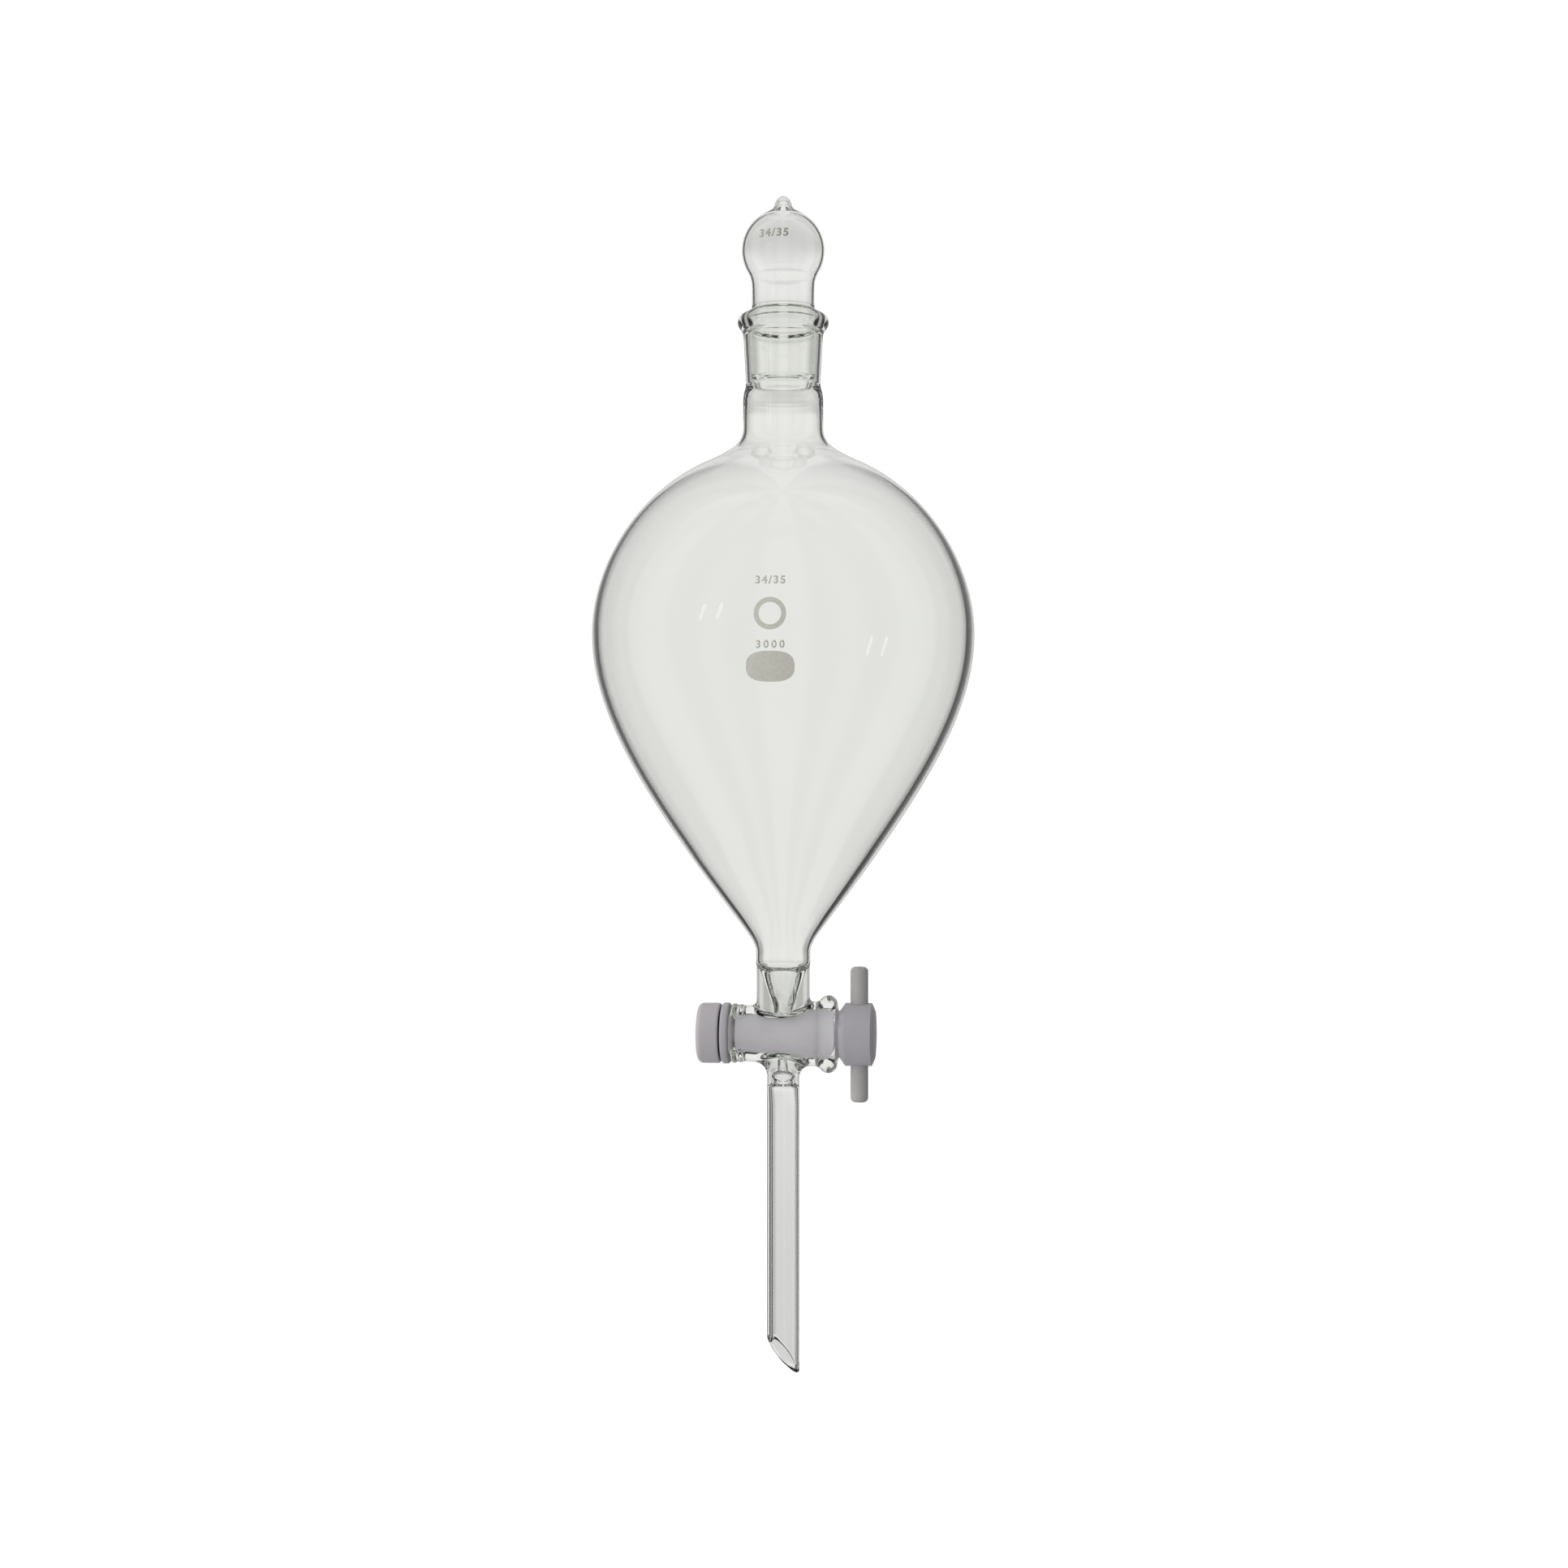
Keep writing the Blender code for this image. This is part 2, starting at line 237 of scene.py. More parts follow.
def surface_net(field, low, high, step):
    """Quads on the zero surface of a field, moved exactly onto it."""
    low = np.array(low, float)
    axes = [np.arange(l, h + step, step) for l, h in zip(low, high)]
    shape = tuple(len(a) for a in axes)
    value = np.empty(shape)
    for i, x in enumerate(axes[0]):
        yy, zz = np.meshgrid(axes[1], axes[2], indexing="ij")
        value[i] = field(np.full_like(yy, x), yy, zz)
    inside = value < 0
    cells = tuple(n - 1 for n in shape)
    count = np.zeros(cells, np.int8)
    offsets = [(i, j, k) for i in (0, 1) for j in (0, 1) for k in (0, 1)]
    for i, j, k in offsets:
        count += inside[i:i + cells[0], j:j + cells[1], k:k + cells[2]]
    active = np.argwhere((count > 0) & (count < 8))
    index = np.full(cells, -1, np.int64)
    index[tuple(active.T)] = np.arange(len(active))
    total, hits = np.zeros((len(active), 3)), np.zeros(len(active))
    for a in offsets:
        for axis in range(3):
            if a[axis]:
                continue
            b = tuple(1 if n == axis else a[n] for n in range(3))
            va = value[tuple((active + a).T)]
            vb = value[tuple((active + b).T)]
            crossed = (va < 0) != (vb < 0)
            share = np.where(crossed, va / np.where(va == vb, 1, va - vb), 0)
            point = np.array(a) + share[:, None] * (np.array(b) - np.array(a))
            total += np.where(crossed[:, None], point, 0)
            hits += crossed
    verts = low + (active + total / hits[:, None]) * step
    tiny = 0.01
    for _ in range(4):
        x, y, z = verts.T
        f = field(x, y, z)
        slope = np.stack([(field(x + tiny, y, z) - field(x - tiny, y, z)),
                          (field(x, y + tiny, z) - field(x, y - tiny, z)),
                          (field(x, y, z + tiny) - field(x, y, z - tiny))], axis=1) / (2 * tiny)
        length = np.maximum((slope ** 2).sum(1), 0.05)
        verts = verts - np.clip(f / length, -step, step)[:, None] * slope
    quads = []
    for axis in range(3):
        u, v = (axis + 1) % 3, (axis + 2) % 3
        edge = np.diff(inside.astype(np.int8), axis=axis)
        spots = np.argwhere(edge != 0)
        ok = (spots[:, u] > 0) & (spots[:, v] > 0) & (spots[:, u] < cells[u]) & (spots[:, v] < cells[v])
        spots = spots[ok]
        way = edge[tuple(spots.T)]
        corner = []
        for du, dv in ((1, 1), (0, 1), (0, 0), (1, 0)):
            s = spots.copy()
            s[:, u] -= du
            s[:, v] -= dv
            corner.append(index[tuple(s.T)])
        q = np.stack(corner, axis=1)
        q[way < 0] = q[way < 0][:, ::-1]
        quads.append(q[(q >= 0).all(1)])
    return verts, np.concatenate(quads)


def walk_loops(quads):
    """The open border of a quad mesh, as ordered loops of vertex numbers."""
    ends = np.concatenate([quads[:, [i, (i + 1) % 4]] for i in range(4)])
    seen = {tuple(e) for e in ends}
    onward = {b: a for a, b in seen if (b, a) not in seen}
    loops = []
    while onward:
        start = next(iter(onward))
        loop, at = [start], onward.pop(start)
        while at != start:
            loop.append(at)
            at = onward.pop(at)
        loops.append(loop)
    return loops


def zip_rings(verts, a, b):
    """Triangles between two loops round the Z axis that lie close to each other."""
    def from_least(loop):
        angles = np.arctan2([verts[i][1] for i in loop], [verts[i][0] for i in loop])
        turn = np.unwrap(np.append(angles, angles[0]))
        if turn[-1] < turn[0]:
            return from_least(loop[::-1])
        cut = int(np.argmin(angles))
        loop, angles = loop[cut:] + loop[:cut], np.roll(angles, -cut)
        return loop + [loop[0]], np.append(np.unwrap(angles), angles[0] + 2 * math.pi)
    la, ta = from_least(list(a))
    lb, tb = from_least(list(b))
    faces, i, j = [], 0, 0
    while i < len(la) - 1 or j < len(lb) - 1:
        if j == len(lb) - 1 or (i < len(la) - 1 and ta[i + 1] <= tb[j + 1]):
            faces.append((la[i], la[i + 1], lb[j]))
            i += 1
        else:
            faces.append((la[i], lb[j + 1], lb[j]))
            j += 1
    return faces


def upper_glass():
    """Profile from the thick arm, up the outside, over the rim and down the inside."""
    outside = [(r + 0.16 * math.exp(-((z - 452.6) / 0.8) ** 2), z) for r, z in bulb_outline()]
    rim = [(18.2, 521.9)] + arc(18.05, 517.0, 4.35, 78, -46, 20)
    socket = smooth_through([(19.75, 511.5), (19.45, 508.5), (18.95, 499.0), (18.4, 489.0), (18.5, 485.5),
                             (19.3, 482.3), (NECK_R, 479.0), (NECK_R, 474.0)], 5)
    weld = [(OUTLET_R, 201.6), (13.2, 200.6), (12.98, 199.9), (ARM_R, 199.0), (ARM_R, 196.0)]
    down = [(ARM_R, z) for z in (193.0, 190.5, 189.0, CUT_TOP)]
    outer = rim + socket + outside + weld + down
    mouth = [(17.9, 521.6), (17.65, 521.0)]
    ground = [(joint_radius(z) + 0.05, z) for z in np.linspace(520.4, 487.5, 12)]
    below = smooth_through([(joint_radius(486.5) + 0.1, 486.5), (16.1, 484.3), (17.2, 481.6),
                            (17.8, 478.5)], 4)
    inside = [p for p in inwards(outside) if p[1] > 204.5]
    bowl = smooth_through([(11.0, 205.0), (11.0, 202.6), (10.5, 200.7), (9.2, 199.4), (7.9, 198.2),
                           (7.0, 195.6), (5.9, 191.2)], 6)
    cone = [(3.3 + (z - 180.5) * 3.7 / 15.5, z) for z in (189.5, CUT_TOP)]
    return list(reversed(outer)), mouth + ground + below + inside + bowl + cone


def lower_glass():
    """Profile from the arm under the barrel, down the stem, round the lip and up the bore."""
    outer = [(STEM_R, z) for z in (143.0, 142.4)]
    outer += [(7.88, 141.9), (7.84, 141.6), (7.9, 141.2), (STEM_R, 140.6)]
    outer += [(STEM_R, z) for z in np.linspace(139.0, 1.0, 70)]
    lip = arc((STEM_R + STEM_BORE_R) / 2, 1.0, (STEM_R - STEM_BORE_R) / 2, 0, -180, 12)[1:-1]
    bore = [(STEM_BORE_R, z) for z in np.linspace(1.0, 139.6, 70)]
    shoulder = smooth_through([(5.75, 140.6), (5.2, 141.5), (4.4, 142.1), (3.7, 142.6)], 4)
    return outer + lip, bore + shoulder + [(3.55, 143.0)]


def off_centre(verts, first):
    """Moves the inside, which starts at vertex first, by the blown wall's unevenness."""
    v = np.array(verts)
    heights, shifts = zip(*OFF_CENTRE)
    v[first:, 0] += np.interp(v[first:, 2], heights, shifts)
    return v


def slanted(verts):
    """Shears the lowest part of the stem so that its lip lies on the slanted cut."""
    v = np.array(verts)
    turn = math.radians(TIP_TURN)
    across = v[:, 0] * math.cos(turn) + v[:, 1] * math.sin(turn)
    rise = math.tan(math.radians(TIP_ANGLE)) * (STEM_R - across)
    fade = np.clip(1 - v[:, 2] / 70.0, 0, 1)
    v[:, 2] += rise * fade
    return v


def glass_body(mat):
    steps = 200
    outside, inside = upper_glass()
    top_v, top_f, top_rings = lathe_arrays(outside + inside, steps)
    top_v = off_centre(top_v, steps * len(outside))
    outside, inside = lower_glass()
    low_v, low_f, low_rings = lathe_arrays(outside + inside, steps, len(top_v))
    low_v = slanted(off_centre(low_v, steps * len(outside)))
    step = 0.36
    low, high = (-28, -22, CUT_LOW - COCK_Z - 1.5), (29, 22, CUT_TOP - COCK_Z + 1.5)
    net_v, net_q = surface_net(cock_glass, low, high, step)
    net_v = net_v + np.array([0, 0, COCK_Z])
    kept = (net_v[:, 2] < CUT_TOP - 0.1) & (net_v[:, 2] > CUT_LOW + 0.1)
    net_q = net_q[kept[net_q].all(1)]
    used, numbers = np.unique(net_q, return_inverse=True)
    net_v, net_q = net_v[used], numbers.reshape(-1, 4)
    base = len(top_v) + len(low_v)
    verts = np.vstack([top_v, low_v, net_v])
    faces = top_f + low_f + [tuple(int(i) + base for i in q) for q in net_q]
    loops = [[int(i) + base for i in loop] for loop in walk_loops(net_q)]
    loops = [loop for loop in loops if len(loop) > 12]

    def reach(loop):
        p = verts[loop]
        return float(np.hypot(p[:, 0], p[:, 1]).mean()), float(p[:, 2].mean())

    tops = sorted((loop for loop in loops if reach(loop)[1] > COCK_Z), key=lambda loop: reach(loop)[0])
    lows = sorted((loop for loop in loops if reach(loop)[1] < COCK_Z), key=lambda loop: reach(loop)[0])
    for ring, loop in ((top_rings[0], tops[-1]), (top_rings[-1], tops[0]),
                       (low_rings[0], lows[-1]), (low_rings[-1], lows[0])):
        faces += zip_rings(verts, ring, loop)
    ob = mesh_object("glass_body", (verts - np.array([0, 0, RING_Z])) * MM, faces, sharp=None)
    return dress(ob, "funnel", mat, ["funnel_body"])


def glass_stopper(mat):
    bottom = JOINT_TOP - JOINT_LENGTH
    foot = arc(joint_radius(bottom + 2) - 1.9, bottom + 1.9, 1.9, -90, -3, 10)
    cone = [(joint_radius(z), z) for z in np.linspace(bottom + 2.6, JOINT_TOP, 14)]
    shoulder = smooth_through([(17.2, 521.9), (16.4, 522.9), (15.6, 523.8), (15.4, 525.6), (15.4, 531.0),
                               (15.45, 535.4), (15.8, 538.2), (16.7, 540.6)], 5)
    ball = arc(0.0, BALL_Z, BALL_R, -31, 62, 40)
    tip = smooth_through([(7.0, 571.9), (5.0, 573.3), (4.3, 574.9), (3.8, 576.4), (2.6, 578.3),
                          (1.2, 579.2)], 4)
    outer = [(0.0, bottom)] + foot + cone + shoulder + ball + tip + [(0.0, 579.3)]
    inner = [(0.0, 573.2)] + smooth_through([(1.6, 573.0), (3.2, 571.8), (6.0, 570.7)], 4)
    inner += arc(0.0, BALL_Z, BALL_R - 1.1, 69, -31, 36)
    inner += smooth_through([(15.55, 541.0), (14.5, 538.0), (14.1, 535.0), (14.0, 531.0), (14.0, 526.0),
                             (14.2, 524.2), (14.9, 522.0), (15.6, 519.6)], 5)
    ridge = np.concatenate([[518.0], np.linspace(515.6, 511.2, 13), np.linspace(508.0, bottom + 3.6, 8)])
    inner += [(joint_radius(z) - 1.5 - 0.3 * math.exp(-((z - 513.4) / 0.9) ** 2), z) for z in ridge]
    inner += smooth_through([(13.6, bottom + 2.4), (12.4, bottom + 1.7), (9.0, bottom + 1.6)], 3)
    inner += [(0.0, bottom + 1.6)]
    v1, f1, _ = lathe_arrays(outer, 160)
    v2, f2, _ = lathe_arrays(inner, 160, len(v1))
    verts = (np.array(v1 + v2) - np.array([0, 0, RING_Z])) * MM
    ob = bpy.data.objects.new("glass_stopper", bpy.data.meshes.new("glass_stopper"))
    ob.data.from_pydata([tuple(v) for v in verts], [], f1 + f2)
    bpy.context.collection.objects.link(ob)
    bm = bmesh.new()
    bm.from_mesh(ob.data)
    outer_faces = [f for f in bm.faces if f.index < len(f1)]
    inner_faces = [f for f in bm.faces if f.index >= len(f1)]
    bmesh.ops.recalc_face_normals(bm, faces=outer_faces)
    bmesh.ops.recalc_face_normals(bm, faces=inner_faces)
    bmesh.ops.reverse_faces(bm, faces=inner_faces)
    bm.to_mesh(ob.data)
    bm.free()
    ob.data.shade_smooth()
    ob.data.set_sharp_from_angle(angle=math.radians(50))
    return dress(ob, "stopper", mat, ["stopper"])


# ---------------------------------------------------------------- plastic pieces

AT = (0.0, 0.0, COCK_Z)


def cut(ob, cutters):
    """Takes the cutters away from a mesh for good."""
    for i, cutter in enumerate(cutters):
        change = ob.modifiers.new(f"cut{i}", "BOOLEAN")
        change.operation, change.solver, change.object = "DIFFERENCE", "EXACT", cutter
    solid = bpy.data.meshes.new_from_object(ob.evaluated_get(bpy.context.evaluated_depsgraph_get()))
    ob.modifiers.clear()
    ob.data = solid
    solid.shade_smooth()
    solid.set_sharp_from_angle(angle=math.radians(32))
    for cutter in cutters:
        bpy.data.objects.remove(cutter, do_unlink=True)
    return ob


def soft(line, size=0.35, count=4):
    """Profile with each inner corner replaced by a small round one."""
    out = [line[0]]
    for a, b, c in zip(line, line[1:], line[2:]):
        a, b, c = Vector(a), Vector(b), Vector(c)
        near = min(size, (a - b).length * 0.45, (c - b).length * 0.45)
        p, q = b + (a - b).normalized() * near, b + (c - b).normalized() * near
        for t in np.linspace(0, 1, count + 1):
            out.append(tuple((1 - t) ** 2 * p + 2 * (1 - t) * t * b + t * t * q))
    return out + [line[-1]]


def stopcock_key(mat):
    def plug(x):
        return PLUG_R + PLUG_SLOPE * x
    line = [(0.0, -40.4), (5.1, -40.4), (5.8, -39.7), (5.8, -25.2)]
    line += [(plug(-24.8) - 0.5, -25.2), (plug(-24.4), -24.4)]
    line += [(plug(x), x) for x in (-18, -12, -6, 0, 6, 12, 18, 24)]
    line += [(plug(25.6), 25.6), (12.95, 26.3), (11.25, 27.9), (15.4, 30.8), (15.4, 43.8)]
    line += [(11.7, 45.4), (0.0, 45.5)]
    key = turned("key", soft(line), 128, "X", AT)
    passage = turned("passage", [(0, -16), (PASSAGE_R, -16), (PASSAGE_R, 16), (0, 16)], 48, centre=AT)
    hole = turned("hole", [(0, -22), (4.55, -22), (4.55, 22), (0, 22)], 64, centre=(HANDLE_X, 0, COCK_Z))
    flats = []
    for side in (-1, 1):
        bm = bmesh.new()
        bmesh.ops.create_cube(bm, size=1.0)
        bmesh.ops.scale(bm, vec=(20, 6, 20), verts=bm.verts)
        bmesh.ops.translate(bm, vec=(-35.5, side * 7.7, COCK_Z), verts=bm.verts)
        bmesh.ops.translate(bm, vec=(0, 0, -RING_Z), verts=bm.verts)
        bmesh.ops.scale(bm, vec=(MM, MM, MM), verts=bm.verts)
        mesh = bpy.data.meshes.new("flat")
        bm.to_mesh(mesh)
        bm.free()
        flat = bpy.data.objects.new("flat", mesh)
        bpy.context.collection.objects.link(flat)
        flats.append(flat)
    return dress(cut(key, [passage, hole] + flats), "stopcock", mat, ["stopcock_key"])


def handle(mat):
    top = arc(HANDLE_R - 2.3, HANDLE_HALF - 2.3, 2.3, 90, 0, 12)
    line = [(0.0, HANDLE_HALF)] + top + [(HANDLE_R, z) for z in np.linspace(28, -28, 9)]
    line += [(r, -z) for r, z in reversed(top)] + [(0.0, -HANDLE_HALF)]
    bar = turned("cross_handle", line, 96, centre=(HANDLE_X, 0, COCK_Z))
    return dress(bar, "stopcock", mat, ["handle_bar"])


def washer(mat):
    low, high = -30.2, -26.1
    line = [(6.1, low)] + arc(13.4, low + 1.6, 1.6, -90, 0, 10)
    line += arc(13.8, high - 1.2, 1.2, 0, 90, 10) + [(6.1, high)]
    disc = turned("washer_fine", line, 128, "X", AT, closed=True)
    return dress(disc, "stopcock", mat, ["washer"])


def rubber_ring(mat):
    line = arc(-31.9, 8.25, 1.42, 0, 360, 28)[:-1]
    ring = turned("rubber_ring", [(r, x) for x, r in line], 128, "X", AT, closed=True)
    return dress(ring, "tension_ring", mat, ["o_ring"])


def nut(mat):
    low, high, radius = -42.0, -30.9, 14.8
    line = [(6.1, low), (7.2, low)] + arc(radius - 2.8, low + 2.8, 2.8, -90, 0, 14)
    line += arc(radius - 1.0, high - 1.0, 1.0, 0, 90, 8)
    line += [(13.6, high), (10.4, high - 0.9), (10.1, high - 2.9), (6.1, high - 2.9)]
    piece = turned("nut_fine", line, 128, "X", AT, closed=True, sharp=50)
    return dress(piece, "tension_nut", mat, ["nut"])


# ---------------------------------------------------------------- printed marks

def skin(outline, turn, arc_x, height):
    """Point on the glass at an arc length from the mark's middle and a height, a hair above it."""
    r = float(np.interp(height, *outline))
    a = math.radians(-90 + turn) + arc_x / r
    return ((r + 0.05) * math.cos(a), (r + 0.05) * math.sin(a), height - RING_Z)


def flat_text(words, size, spacing=1.15):
    curve = bpy.data.curves.new("words", "FONT")
    curve.body = words
    curve.space_character = spacing
    curve.size = size
    curve.offset = 0.035 * size
    curve.align_x, curve.align_y = "CENTER", "CENTER"
    curve.resolution_u = 4
    ob = bpy.data.objects.new("words", curve)
    bpy.context.collection.objects.link(ob)
    bpy.context.view_layer.update()
    mesh = bpy.data.meshes.new_from_object(ob.evaluated_get(bpy.context.evaluated_depsgraph_get()))
    bpy.data.objects.remove(ob, do_unlink=True)
    return mesh


def flat_shape(points, inner=None):
    """Filled outline, or a band between two outlines of as many points."""
    bm = bmesh.new()
    if inner:
        a = [bm.verts.new((*p, 0)) for p in points]
        b = [bm.verts.new((*p, 0)) for p in inner]
        for i in range(len(a)):
            j = (i + 1) % len(a)
            bm.faces.new((a[i], a[j], b[j], b[i]))
    else:
        middle = bm.verts.new((0, 0, 0))
        rings = [[bm.verts.new((p[0] * s, p[1] * s, 0)) for p in points] for s in np.linspace(0.08, 1, 12)]
        for i in range(len(points)):
            j = (i + 1) % len(points)
            bm.faces.new((middle, rings[0][i], rings[0][j]))
            for a, b in zip(rings, rings[1:]):
                bm.faces.new((a[i], b[i], b[j], a[j]))
    mesh = bpy.data.meshes.new("shape")
    bm.to_mesh(mesh)
    bm.free()
    return mesh


def wrapped(name, mesh, outline, height, turn, body, mat, thick=0.03):
    """Lays a flat mesh, in millimetres, on the glass and gives it a film's thickness."""
    bm = bmesh.new()
    bm.from_mesh(mesh)
    bmesh.ops.triangulate(bm, faces=bm.faces)
    for _ in range(2):
        long = [e for e in bm.edges if e.calc_length() > 1.2]
        if long:
            bmesh.ops.subdivide_edges(bm, edges=long, cuts=1)
            bmesh.ops.triangulate(bm, faces=bm.faces)
    for v in bm.verts:
        v.co = Vector(skin(outline, turn, v.co.x, height + v.co.y)) * MM
    grown = bmesh.ops.extrude_face_region(bm, geom=bm.faces[:])["geom"]
    for v in (g for g in grown if isinstance(g, bmesh.types.BMVert)):
        v.co += Vector((v.co.x, v.co.y, 0)).normalized() * thick * MM
    bmesh.ops.recalc_face_normals(bm, faces=bm.faces)
    done = bpy.data.meshes.new(name)
    bm.to_mesh(done)
    bm.free()
    ob = bpy.data.objects.new(name, done)
    bpy.context.collection.objects.link(ob)
    return dress(ob, body, mat)


def stadium(width, height, power=3.2, count=72):
    """Rounded patch between an ellipse and a rectangle."""
    out = []
    for t in np.linspace(0, 2 * math.pi, count, endpoint=False):
        c, s = math.cos(t), math.sin(t)
        out.append((width / 2 * math.copysign(abs(c) ** (2 / power), c),
                    height / 2 * math.copysign(abs(s) ** (2 / power), s)))
    return out


def marks(mat, dark_mat):
    line = sorted((z, r) for r, z in bulb_outline())
    bulb = ([z for z, r in line], [r for z, r in line])
    ball = arc(0.0, BALL_Z, BALL_R, -31, 62, 40)
    grip = ([z for r, z in ball], [r for r, z in ball])
    ring = [[(r * math.cos(t), r * math.sin(t)) for t in np.linspace(0, 2 * math.pi, 64, endpoint=False)]
            for r in (7.4, 5.1)]
    wrapped("mark_joint_size", flat_text("34/35", 5.0, 1.25), bulb, 382.2, MARK_TURN, "funnel", mat)
    wrapped("mark_ring", flat_shape(ring[0], ring[1]), bulb, 367.0, MARK_TURN, "funnel", mat)
    wrapped("mark_capacity", flat_text("3000", 4.8, 1.5), bulb, 352.9, MARK_TURN, "funnel", mat)
    wrapped("writing_spot", flat_shape(stadium(22.2, 13.9, 2.7)), bulb, 343.1, MARK_TURN, "funnel", mat)
    wrapped("stopper_size", flat_text("34/35", 5.6, 1.2), grip, 557.0, BALL_MARK_TURN, "stopper", dark_mat)


# ---------------------------------------------------------------- materials

def shader(name):
    mat = bpy.data.materials.new(name)
    mat.use_nodes = True
    tree = mat.node_tree
    return mat, tree, tree.nodes["Principled BSDF"]


def noise(tree, scale, detail=3.0):
    where = tree.nodes.new("ShaderNodeTexCoord")
    node = tree.nodes.new("ShaderNodeTexNoise")
    node.inputs["Scale"].default_value = scale
    node.inputs["Detail"].default_value = detail
    tree.links.new(where.outputs["Object"], node.inputs["Vector"])
    return node


def ramp(tree, source, low, high, a=0.3, b=0.7):
    node = tree.nodes.new("ShaderNodeValToRGB")
    node.color_ramp.elements[0].position, node.color_ramp.elements[1].position = a, b
    node.color_ramp.elements[0].color, node.color_ramp.elements[1].color = (*low, 1), (*high, 1)
    tree.links.new(source, node.inputs["Fac"])
    return node.outputs["Color"]


def bump(tree, bsdf, source, strength, distance):
    node = tree.nodes.new("ShaderNodeBump")
    node.inputs["Strength"].default_value = strength
    node.inputs["Distance"].default_value = distance
    tree.links.new(source, node.inputs["Height"])
    tree.links.new(node.outputs["Normal"], bsdf.inputs["Normal"])


def glass_material():
    mat, tree, bsdf = shader("clear_glass_fine")
    bsdf.inputs["Transmission Weight"].default_value = 1.0
    bsdf.inputs["IOR"].default_value = 1.473
    bsdf.inputs["Roughness"].default_value = 0.0
    wave = noise(tree, 22.0, 1.0)
    tree.links.new(ramp(tree, wave.outputs["Fac"], (0.983, 0.987, 0.973), (0.989, 0.992, 0.981)),
                   bsdf.inputs["Base Color"])
    bsdf.inputs["Specular Tint"].default_value = (0.4, 0.4, 0.4, 1)
    depth = tree.nodes.new("ShaderNodeVolumeAbsorption")
    depth.inputs["Color"].default_value = (0.12, 0.19, 0.04, 1)
    depth.inputs["Density"].default_value = 8.0
    tree.links.new(depth.outputs["Volume"], tree.nodes["Material Output"].inputs["Volume"])
    return mat


def plastic_material(name, tone):
    mat, tree, bsdf = shader(name)
    cloud = noise(tree, 90.0, 4.0)
    low, high = ([level * share for share in tone] for level in (0.96, 1.04))
    tree.links.new(ramp(tree, cloud.outputs["Fac"], low, high), bsdf.inputs["Base Color"])
    bsdf.inputs["Roughness"].default_value = 0.42
    bsdf.inputs["IOR"].default_value = 1.35
    grain = noise(tree, 1400.0, 2.0)
    bump(tree, bsdf, grain.outputs["Fac"], 0.15, 0.0001)
    return mat


def rubber_material():
    mat, tree, bsdf = shader("rubber_fine")
    speck = noise(tree, 700.0, 3.0)
    tree.links.new(ramp(tree, speck.outputs["Fac"], (0.012, 0.012, 0.013), (0.03, 0.03, 0.03)),
                   bsdf.inputs["Base Color"])
    bsdf.inputs["Roughness"].default_value = 0.55
    bump(tree, bsdf, speck.outputs["Fac"], 0.3, 0.0001)
    return mat


def enamel_material(name, shade):
    mat, tree, bsdf = shader(name)
    speck = noise(tree, 900.0, 4.0)
    low, high = ([shade * level * tone for tone in (1.0, 0.985, 0.885)] for level in (0.94, 1.06))
    tree.links.new(ramp(tree, speck.outputs["Fac"], low, high), bsdf.inputs["Base Color"])
    bsdf.inputs["Roughness"].default_value = 0.75
    bump(tree, bsdf, speck.outputs["Fac"], 0.2, 0.00005)
    return mat


# ---------------------------------------------------------------- studio

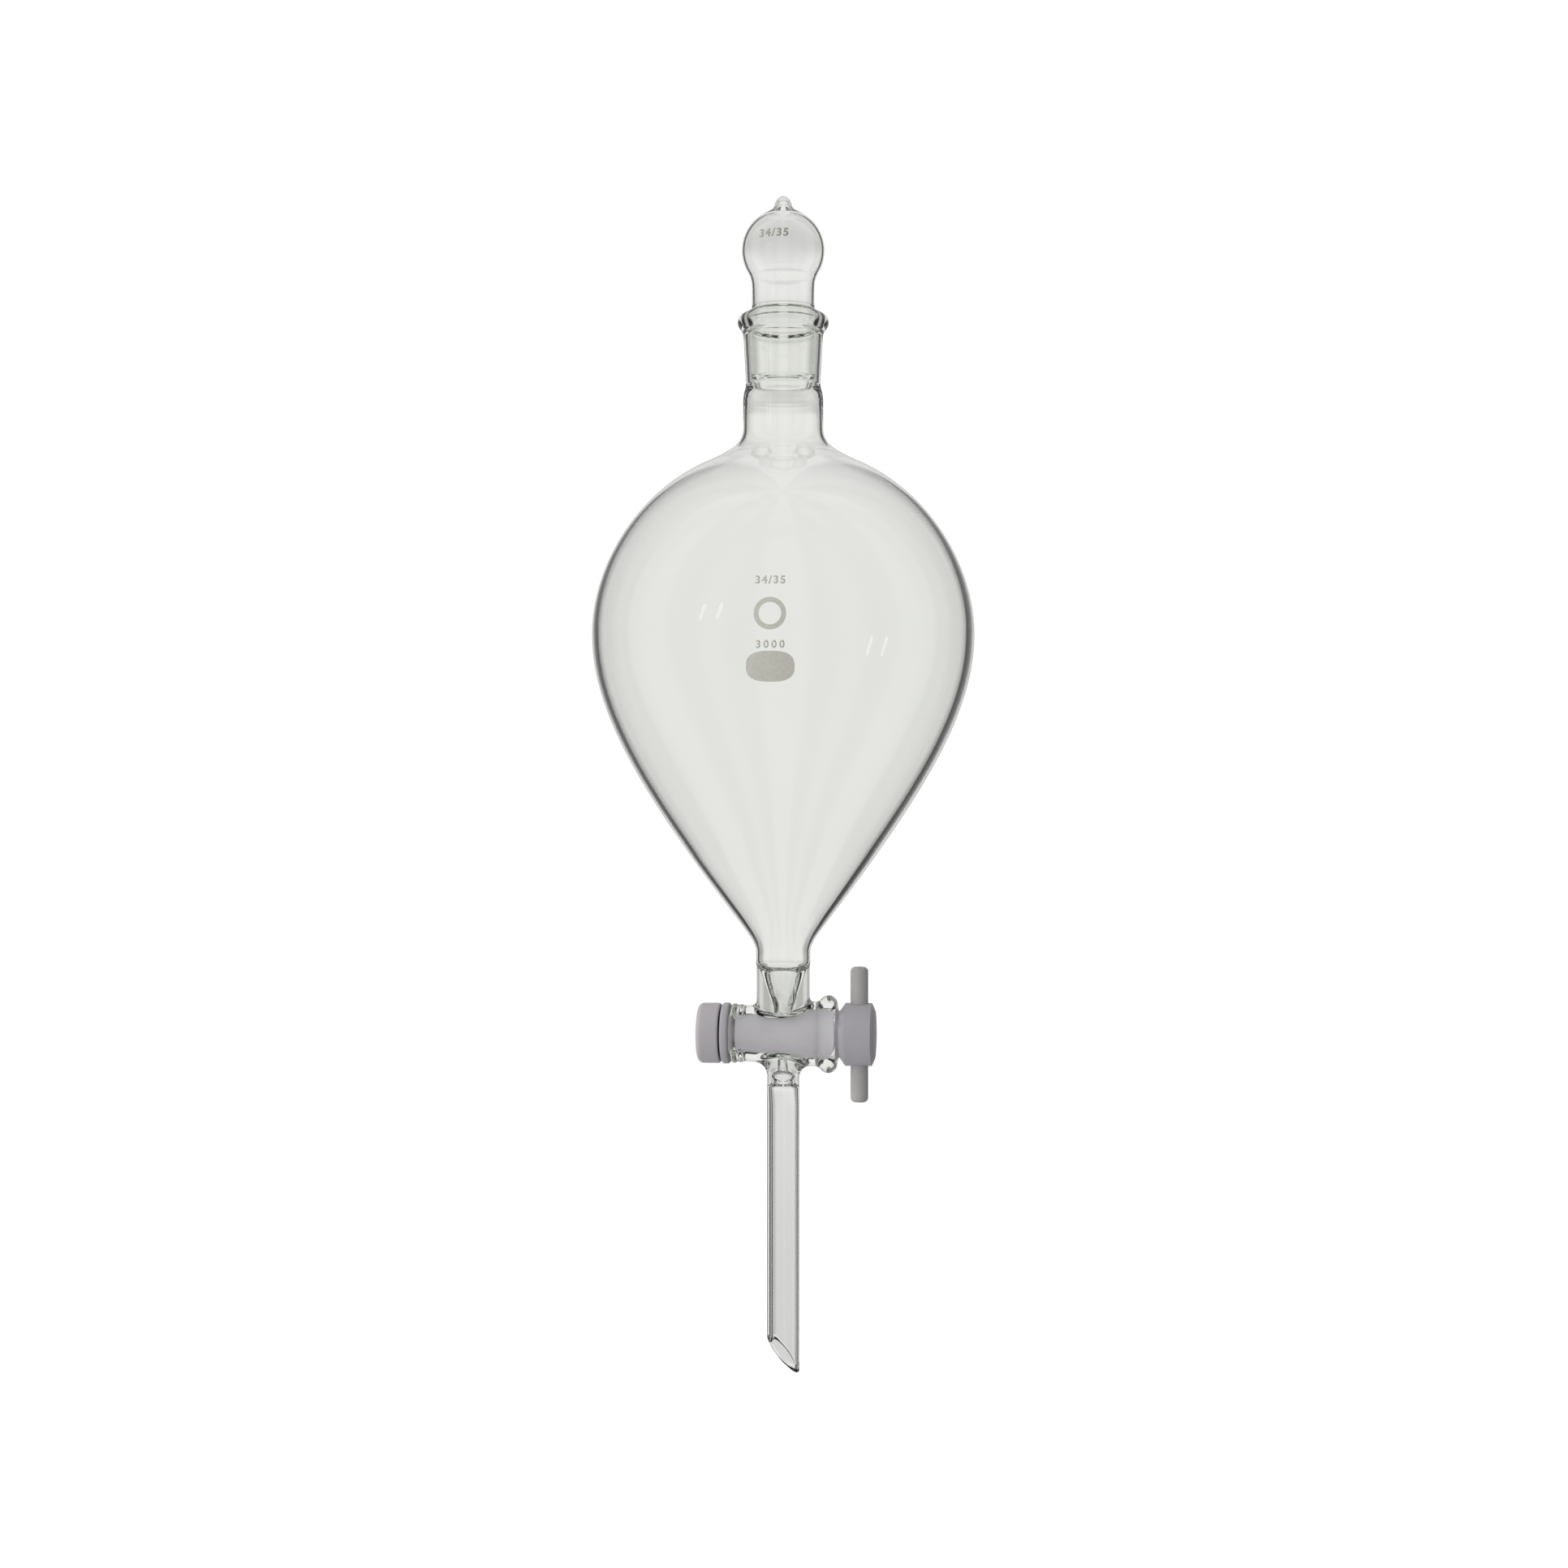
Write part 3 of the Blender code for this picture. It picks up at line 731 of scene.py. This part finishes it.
def studio():
    scene = bpy.context.scene
    scene.view_settings.view_transform = "Standard"
    scene.cycles.max_bounces = 24
    scene.cycles.glossy_bounces = 16
    scene.cycles.transmission_bounces = 16
    world = bpy.data.worlds.new("studio")
    scene.world = world
    world.use_nodes = True
    world.cycles.sampling_method = "NONE"
    tree = world.node_tree
    nodes, link = tree.nodes, tree.links.new
    nodes.clear()

    def math_node(kind, a, b=None, c=None, clamp=False):
        node = nodes.new("ShaderNodeMath")
        node.operation, node.use_clamp = kind, clamp
        for i, value in enumerate((a, b, c)):
            if value is None:
                continue
            if isinstance(value, (int, float)):
                node.inputs[i].default_value = value
            else:
                link(value, node.inputs[i])
        return node.outputs[0]

    def between(value, low, high, to_low, to_high):
        node = nodes.new("ShaderNodeMapRange")
        node.interpolation_type = "SMOOTHSTEP"
        for i, v in enumerate((low, high, to_low, to_high), 1):
            node.inputs[i].default_value = v
        link(value, node.inputs[0])
        return node.outputs[0]

    def blend(low, high, share):
        return math_node("ADD", math_node("MULTIPLY", low, math_node("SUBTRACT", 1.0, share)),
                         math_node("MULTIPLY", high, share))

    where = nodes.new("ShaderNodeTexCoord")
    split = nodes.new("ShaderNodeSeparateXYZ")
    link(where.outputs["Generated"], split.inputs[0])
    x, y, z = split.outputs
    path = nodes.new("ShaderNodeLightPath")
    reflected = math_node("GREATER_THAN", path.outputs["Glossy Depth"], 0.5)
    entered = math_node("GREATER_THAN", path.outputs["Transmission Depth"], 0.5)
    scattered = math_node("GREATER_THAN", path.outputs["Diffuse Depth"], 0.5)

    # Each kind of ray has its own brightness. Four bright screens stand round the object, with
    # a dark slot beside each edge of each. Rays reflected inside glass see sharp slots if they
    # cross up to 2 glass surfaces, soft ones for 3 to 6, and sharp ones again for more.
    turn = math_node("ADD", math_node("ARCTAN2", x, y), math.radians(EYE_TURN))
    aside = math_node("ABSOLUTE", math_node("WRAP", turn, math.pi / 4, -math.pi / 4))
    off_slot = math_node("ABSOLUTE", math_node("SUBTRACT", aside, math.radians(SLOT_TURN)))
    slot = between(aside, math.radians(13), math.radians(19), 0.0, 1.0)
    slot = math_node("SUBTRACT", slot, between(aside, math.radians(33), math.radians(41), 0.0, 0.45))
    soft_slot = between(off_slot, math.radians(4), math.radians(15), 1.0, 0.0)
    deep = math_node("GREATER_THAN", path.outputs["Transmission Depth"], 2.5)
    far = math_node("GREATER_THAN", path.outputs["Transmission Depth"], 6.5)
    fall = nodes.new("ShaderNodeValToRGB")
    fall.color_ramp.interpolation = "B_SPLINE"
    while len(fall.color_ramp.elements) < len(BACKDROP):
        fall.color_ramp.elements.new(0.5)
    for spot, (sine, level) in zip(fall.color_ramp.elements, BACKDROP):
        spot.position, spot.color = (sine + 1) / 2, (level, level, level, 1)
    link(math_node("MULTIPLY_ADD", z, 0.5, 0.5), fall.inputs[0])
    dip = between(math_node("ABSOLUTE", z), 0.2, 0.4, -0.33, -0.08)
    straight = math_node("MULTIPLY", fall.outputs[0], math_node("MULTIPLY_ADD", soft_slot, dip, 1.0))
    sharp_slots = math_node("MULTIPLY_ADD", slot, -0.93, 0.95)
    soft_slots = math_node("MULTIPLY_ADD", soft_slot, -0.3, 0.85)
    inner = blend(sharp_slots, soft_slots, deep)
    inner = blend(inner, math_node("MULTIPLY_ADD", slot, -0.93, 0.93), far)
    sheen = between(z, -0.7, 0.7, 0.35, 0.50)
    clear = blend(straight, blend(sheen, inner, entered), reflected)
    room = math_node("MULTIPLY", between(z, -0.8, 0.9, 0.50, 0.76), math_node("MULTIPLY_ADD", x, -0.88, 1.0))
    behind_glass = math_node("MULTIPLY_ADD", entered, 1.25, 1.0)
    lit = blend(clear, math_node("MULTIPLY", room, behind_glass), scattered)
    strength = blend(lit, CAMERA_LEVEL, path.outputs["Is Camera Ray"])
    background = nodes.new("ShaderNodeBackground")
    background.inputs["Color"].default_value = (1.0, 1.0, 0.995, 1)
    link(strength, background.inputs["Strength"])
    out = nodes.new("ShaderNodeOutputWorld")
    link(background.outputs[0], out.inputs["Surface"])

    rim = [(0.0, -120.0), (700.0, -120.0), (1600.0, -120.0), (1605.0, -124.0), (0.0, -124.0)]
    floor = turned("floor", rim, 96)
    mat, tree, bsdf = shader("floor_pale")
    bsdf.inputs["Base Color"].default_value = (0.0, 0.0, 0.0, 1)
    bsdf.inputs["Specular IOR Level"].default_value = 0.0
    bsdf.inputs["Emission Color"].default_value = (1, 1, 0.995, 1)
    bsdf.inputs["Emission Strength"].default_value = CAMERA_LEVEL
    floor.data.materials.append(mat)
    floor.visible_diffuse = False
    floor.visible_glossy = False
    floor.visible_transmission = False

    for place in LAMPS:
        lamp = bpy.data.lights.new("softbox", "AREA")
        lamp.shape, lamp.energy = "RECTANGLE", LAMP_POWER
        lamp.size, lamp.size_y = LAMP_SIZE
        ob = bpy.data.objects.new("softbox", lamp)
        ob.location = place
        ob.rotation_euler = (Vector((0, 0, 0.05)) - Vector(place)).to_track_quat("-Z", "Y").to_euler()
        ob.rotation_euler.rotate_axis("Z", math.radians(LAMP_LEAN))
        ob.visible_camera = ob.visible_diffuse = ob.visible_transmission = False
        bpy.context.collection.objects.link(ob)


def camera():
    data = bpy.data.cameras.new("camera")
    data.sensor_width = 36.0
    data.lens = 36.0 * EYE_DISTANCE / FRAME_WIDTH
    data.shift_x = 0.0005
    ob = bpy.data.objects.new("camera", data)
    turn = math.radians(EYE_TURN)
    ob.location = (EYE_DISTANCE * MM * math.sin(turn), -EYE_DISTANCE * MM * math.cos(turn), EYE_Z * MM)
    ob.rotation_euler = (math.pi / 2, 0, turn)
    bpy.context.collection.objects.link(ob)
    bpy.context.scene.camera = ob


def main():
    glass, rubber = glass_material(), rubber_material()
    enamel, dark_enamel = enamel_material("enamel_grey", 0.80), enamel_material("enamel_dark", 0.52)
    plastic = plastic_material("ptfe_lilac", (0.535, 0.515, 0.56))
    warm_plastic = plastic_material("ptfe_warm", (0.54, 0.52, 0.515))
    # painted light: the nut's material is a lighter copy of the lilac PTFE, standing in for the nut being
    # more brightly lit
    painted_lit_plastic = plastic_material("ptfe_painted_lit", (0.60, 0.57, 0.60))
    glass_body(glass)
    glass_stopper(glass)
    stopcock_key(plastic)
    handle(warm_plastic)
    washer(plastic)
    rubber_ring(rubber)
    nut(painted_lit_plastic)
    marks(enamel, dark_enamel)
    studio()
    camera()


main()
